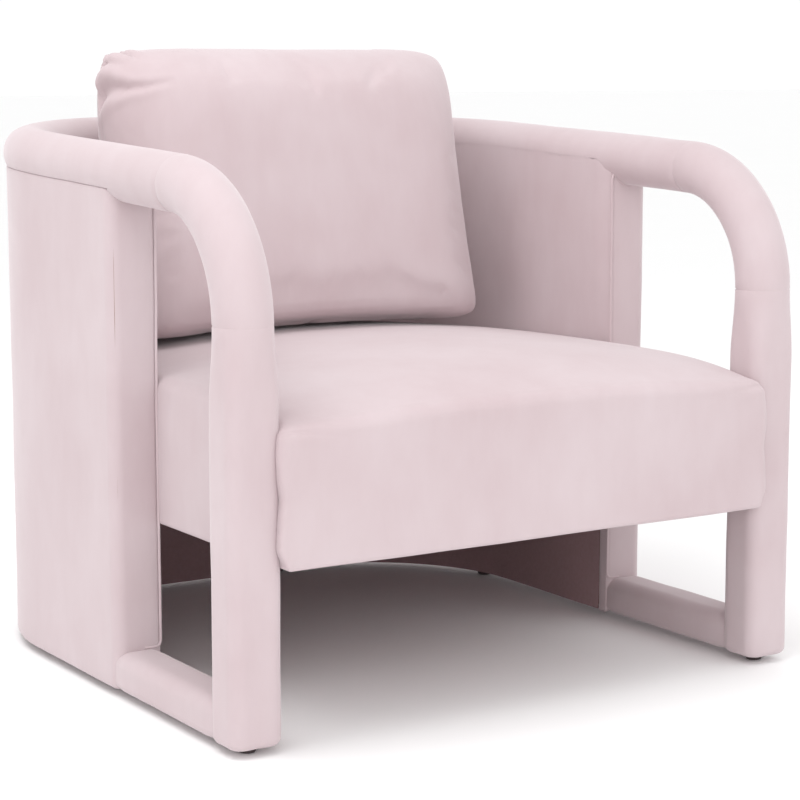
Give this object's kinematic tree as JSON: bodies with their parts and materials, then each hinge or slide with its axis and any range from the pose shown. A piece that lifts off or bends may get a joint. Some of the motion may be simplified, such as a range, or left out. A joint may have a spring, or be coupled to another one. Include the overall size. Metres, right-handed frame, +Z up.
{
  "type": "upholstered armchair",
  "caption": "Low barrel armchair in pale velvet: a padded shell and roll run forward as arms that bend down into front legs, with a sprung seat box and a loose zipped back cushion.",
  "frame": {"origin": "on the floor, in the middle of the chair's outline seen from above", "axes": "+X to the right seen from the front, +Y to the back, +Z up"},
  "size_m": [0.788, 0.8288, 0.7523],
  "materials": {
    "wood": "planed softwood",
    "plywood": "sanded plywood",
    "hardboard": "smooth hardboard",
    "spring_steel": "drawn and oil-tempered",
    "clip_plastic": "moulded",
    "jute": "loose plain weave",
    "foam": "open-cell cut foam",
    "wadding": "carded polyester",
    "velvet": "short brushed pile, pale blush",
    "cambric": "non-woven, dark brown",
    "glide_plastic": "moulded, dull",
    "zinc_steel": "zinc plated",
    "zip": "woven tape with a moulded coil",
    "zip_metal": "nickel plated"
  },
  "bodies": {
    "chair": {"left_leg_post": "wood", "right_leg_post": "wood", "left_arm_arch": "plywood", "right_arm_arch": "plywood", "left_arm_bar": "wood", "right_arm_bar": "wood", "left_sill_bar": "wood", "right_sill_bar": "wood", "left_front_post": "wood", "right_front_post": "wood", "bottom_hoop": "plywood", "seat_hoop": "plywood", "top_hoop": "plywood", "back_studs": "wood", "inner_board": "hardboard", "outer_board": "hardboard", "seat_front_rail": "wood", "seat_back_rail": "wood", "left_seat_rail": "wood", "right_seat_rail": "wood", "corner_blocks": "wood", "rear_deck_board": "plywood", "rear_ledger": "wood", "sinuous_springs": "spring_steel", "spring_clips": "clip_plastic", "spring_cover": "jute", "seat_foam": "foam", "seat_border_foam": "foam", "seat_cover": "velvet", "seat_dust_cover": "cambric", "inner_shell_foam": "foam", "outer_shell_wadding": "wadding", "roll_foam": "foam", "arm_foam": "foam", "bend_foam": "foam", "leg_foam": "foam", "sill_foam": "foam", "inner_shell_cover": "velvet", "outer_shell_cover": "velvet", "end_panels": "velvet", "roll_cover": "velvet", "left_arm_cover": "velvet", "right_arm_cover": "velvet", "left_bend_cover": "velvet", "right_bend_cover": "velvet", "left_leg_cover": "velvet", "right_leg_cover": "velvet", "left_sill_cover": "velvet", "right_sill_cover": "velvet", "shell_lining": "cambric", "edge_welts": "velvet", "glide_pads": "glide_plastic", "glide_nails": "zinc_steel", "side_bolts": "zinc_steel", "tee_nuts": "zinc_steel"},
    "cushion": {"cushion_insert": "wadding", "cushion_cover": "velvet", "zip_tape": "zip"},
    "zip_slider": {"zip_slider": "zip_metal"},
    "zip_pull": {"zip_pull": "zip_metal"}
  },
  "joints": [
    {"name": "cushion_lift", "type": "slide", "parent": "chair", "child": "cushion", "axis": [0, 0, 1], "range_m": [0, 0.4]},
    {"name": "zip_slide", "type": "slide", "parent": "cushion", "child": "zip_slider", "axis": [1, 0, 0], "range_m": [0, 0.427]},
    {"name": "zip_pull_swing", "type": "hinge", "parent": "zip_slider", "child": "zip_pull", "pos_m": [-0.2135, 0.24369, 0.49584], "axis": [0, -0.1392, -0.9903], "range_deg": [0, 170]}
  ]
}
